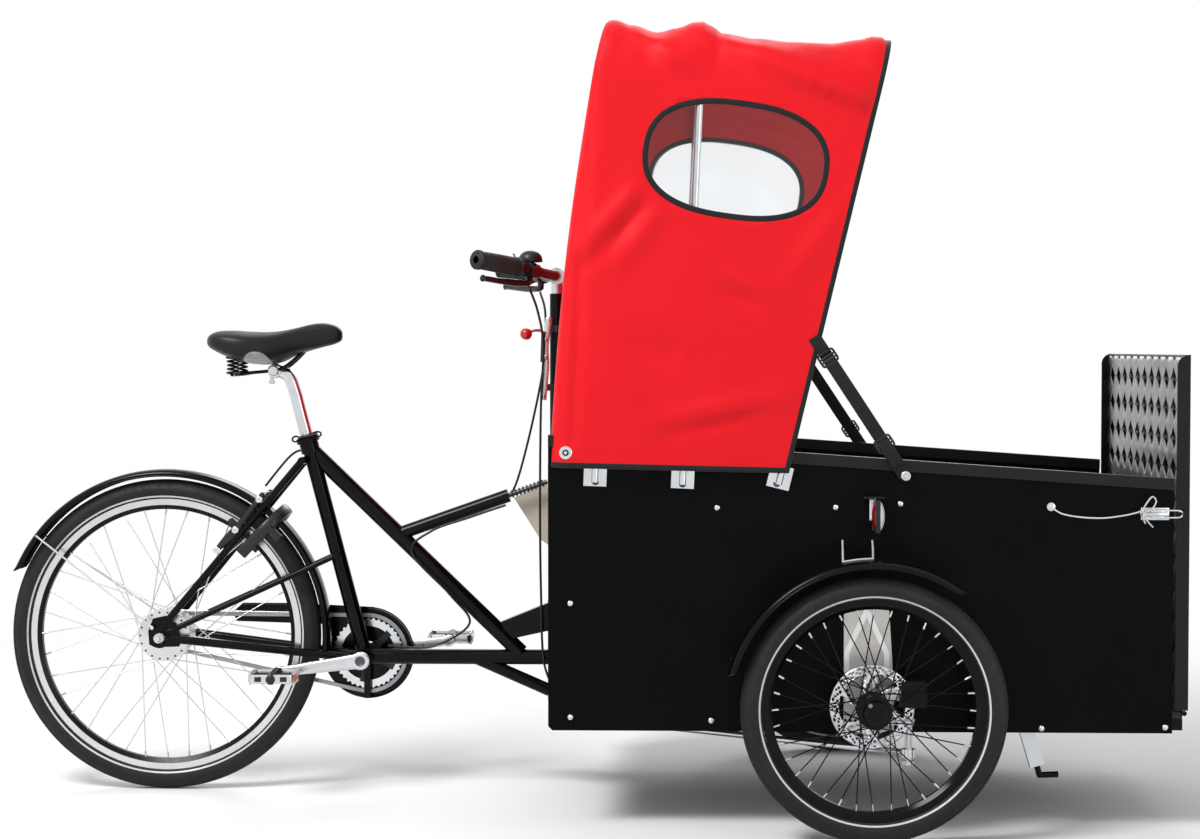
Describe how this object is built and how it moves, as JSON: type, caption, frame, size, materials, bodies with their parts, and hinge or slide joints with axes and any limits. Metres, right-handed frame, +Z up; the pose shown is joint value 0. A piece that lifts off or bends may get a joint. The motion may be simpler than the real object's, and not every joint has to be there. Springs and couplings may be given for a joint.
{
  "type": "cargo tricycle",
  "caption": "Front-loading cargo tricycle with a deep box, a drop-down boarding ramp, a fabric hood with windows and steered front wheels.",
  "frame": {"origin": "middle of the bounding box at ground level", "axes": "+X forward to the ramp, +Y to the rider's left, +Z up"},
  "size_m": [2.381, 1.094, 1.569],
  "materials": {
    "black_paint": "gloss",
    "black_panel": "satin",
    "grey_rail": "satin",
    "beige_paint": "satin",
    "bright_metal": "satin",
    "bright_steel": "brushed",
    "chrome_tube": "polished",
    "dark_steel": "satin",
    "black_plastic": "matte",
    "saddle_cover": "matte",
    "red_cloth": "woven",
    "clear_pane": "clear",
    "webbing": "woven",
    "cord": "woven",
    "tyre": "matte",
    "lamp": "gloss",
    "cable": "satin"
  },
  "bodies": {
    "frame": {"seat_tube": "black_paint", "top_tube": "black_paint", "upper_tube": "black_paint", "main_tube": "black_paint", "head_tube": "black_paint", "rear_stays": "black_paint", "spring_stay": "dark_steel", "column_bracket": "beige_paint", "seat_post": "bright_metal", "saddle": "saddle_cover", "rear_mudguard": "black_plastic", "chain": "bright_steel", "chain_guard": "black_plastic", "rear_brake": "dark_steel", "rear_cables": "cable", "box_floor": "black_panel", "box_side_right": "black_panel", "box_side_left": "black_panel", "box_back": "black_panel", "under_frame": "black_paint", "top_rails": "grey_rail", "hood_frame": "chrome_tube", "hood_side_right": "red_cloth", "hood_side_left": "red_cloth", "hood_roof": "red_cloth", "hood_back": "red_cloth", "hood_windows": "clear_pane", "hood_straps": "webbing", "side_lamps": "lamp", "axle_carriers": "bright_metal", "front_mudguards": "black_plastic", "latches": "bright_steel", "lanyard": "cord", "steering_cables": "cable"},
    "rear_wheel": {"rear_tyre": "tyre", "rear_wheel": "bright_metal"},
    "front_wheel_right": {"front_tyre_right": "tyre", "front_wheel_right": "black_paint", "brake_disc_right": "bright_steel"},
    "front_wheel_left": {"front_tyre_left": "tyre", "front_wheel_left": "black_paint", "brake_disc_left": "bright_steel"},
    "knuckle_right": {"knuckle_right": "bright_metal"},
    "knuckle_left": {"knuckle_left": "bright_metal"},
    "steering": {"steering_column": "black_paint", "handlebar": "bright_metal", "bar_controls": "black_plastic", "parking_lever": "bright_metal"},
    "tie_rod_right": {"tie_rod_right": "bright_steel"},
    "tie_rod_left": {"tie_rod_left": "bright_steel"},
    "crank": {"crank_set": "bright_metal"},
    "pedal_right": {"pedal_right": "bright_metal"},
    "pedal_left": {"pedal_left": "bright_metal"},
    "ramp": {"ramp_panel": "black_panel", "ramp_mesh": "bright_steel"},
    "leg_right": {"leg_foot_right": "black_paint"},
    "leg_left": {"leg_foot_left": "black_paint"}
  },
  "joints": [
    {"name": "rear_wheel_spin", "type": "hinge", "parent": "frame", "child": "rear_wheel", "pos_m": [-0.8645, 0, 0.326], "axis": [0, 1, 0], "continuous": true},
    {"name": "steering_turn", "type": "hinge", "parent": "frame", "child": "steering", "pos_m": [-0.0425, 0, 0.6], "axis": [0, 0, 1], "range_deg": [-20, 20], "deforming": ["steering_cables"]},
    {"name": "knuckle_right_turn", "type": "hinge", "parent": "frame", "child": "knuckle_right", "pos_m": [0.5745, -0.425, 0.25], "axis": [0, 0, 1], "range_deg": [-20, 20]},
    {"name": "knuckle_left_turn", "type": "hinge", "parent": "frame", "child": "knuckle_left", "pos_m": [0.5745, 0.425, 0.25], "axis": [0, 0, 1], "range_deg": [-20, 20]},
    {"name": "tie_rod_right_turn", "type": "hinge", "parent": "steering", "child": "tie_rod_right", "pos_m": [0.0295, 0, 0.15], "axis": [0, 0, 1], "range_deg": [-20, 20]},
    {"name": "tie_rod_left_turn", "type": "hinge", "parent": "steering", "child": "tie_rod_left", "pos_m": [0.0295, 0, 0.167], "axis": [0, 0, 1], "range_deg": [-20, 20]},
    {"name": "front_wheel_right_spin", "type": "hinge", "parent": "knuckle_right", "child": "front_wheel_right", "pos_m": [0.5745, -0.495, 0.25], "axis": [0, 1, 0], "continuous": true},
    {"name": "front_wheel_left_spin", "type": "hinge", "parent": "knuckle_left", "child": "front_wheel_left", "pos_m": [0.5745, 0.495, 0.25], "axis": [0, 1, 0], "continuous": true},
    {"name": "crank_spin", "type": "hinge", "parent": "frame", "child": "crank", "pos_m": [-0.4465, 0, 0.28], "axis": [0, 1, 0], "continuous": true},
    {"name": "pedal_right_spin", "type": "hinge", "parent": "crank", "child": "pedal_right", "pos_m": [-0.61485, -0.135, 0.25634], "axis": [0, 1, 0], "continuous": true},
    {"name": "pedal_left_spin", "type": "hinge", "parent": "crank", "child": "pedal_left", "pos_m": [-0.27815, 0.135, 0.30366], "axis": [0, 1, 0], "continuous": true},
    {"name": "ramp_hinge", "type": "hinge", "parent": "frame", "child": "ramp", "pos_m": [1.1855, 0, 0.222], "axis": [0, 1, 0], "range_deg": [0, 108]},
    {"name": "leg_right_slide", "type": "slide", "parent": "frame", "child": "leg_right", "axis": [0.284, 0, -0.9588], "range_m": [0, 0.088]},
    {"name": "leg_left_slide", "type": "slide", "parent": "frame", "child": "leg_left", "axis": [0.284, 0, -0.9588], "range_m": [0, 0.088]}
  ],
  "couplings": [
    {"joint": "knuckle_right_turn", "follows": "steering_turn", "ratio": 1},
    {"joint": "knuckle_left_turn", "follows": "steering_turn", "ratio": 1},
    {"joint": "tie_rod_right_turn", "follows": "steering_turn", "ratio": -1},
    {"joint": "tie_rod_left_turn", "follows": "steering_turn", "ratio": -1}
  ]
}
